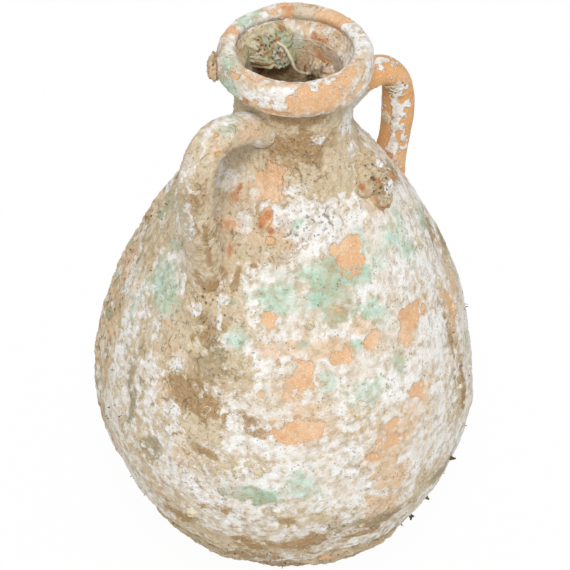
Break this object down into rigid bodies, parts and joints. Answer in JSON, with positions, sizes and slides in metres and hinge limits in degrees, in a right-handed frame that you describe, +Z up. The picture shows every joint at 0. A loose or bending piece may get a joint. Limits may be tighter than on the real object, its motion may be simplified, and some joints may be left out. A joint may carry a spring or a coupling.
{
  "type": "transport amphora",
  "caption": "Two-handled clay transport amphora with an egg-shaped body, short neck and rolled rim collar, crusted with dry sea growth.",
  "frame": {"origin": "centre of the flat spot at the base that the vessel rests on", "axes": "+Z up along the vessel's axis to the mouth; the handles lie near the X axis, the left one on the -X side and the right one on the +X side"},
  "size_m": [0.38, 0.3847, 0.618],
  "materials": {
    "crusted_clay": "matt fired clay under a thin, dry lime crust",
    "bare_clay": "matt fired clay, partly bare",
    "sediment": "rough dry sediment and shell grit",
    "brown_crust": "rough dry brown crust",
    "green_growth": "rough pale green growth",
    "lime": "matt shell lime",
    "weed": "dry weed"
  },
  "bodies": {
    "root": {"base_plug": "crusted_clay", "lower_body": "crusted_clay", "upper_body": "crusted_clay", "neck": "crusted_clay", "rim_collar": "crusted_clay", "handle_left": "bare_clay", "handle_right": "bare_clay", "growth_flank": "sediment", "growth_neck": "sediment", "growth_root_right": "brown_crust", "growth_root_left": "brown_crust", "growth_base_left": "brown_crust", "growth_base_right": "brown_crust", "growth_mouth_shelf": "green_growth", "growth_mouth_bed": "sediment", "growth_rim": "sediment", "worm_tube_long": "lime", "worm_tube_short": "lime", "worm_tube_bent": "lime", "barnacle_low": "lime", "barnacle_front": "lime", "barnacle_side": "lime", "barnacle_shoulder": "lime", "barnacle_back": "lime", "weed_stub_low": "weed", "weed_stub_mid": "weed", "weed_stub_high": "weed", "shell_chip": "lime"}
  },
  "joints": []
}
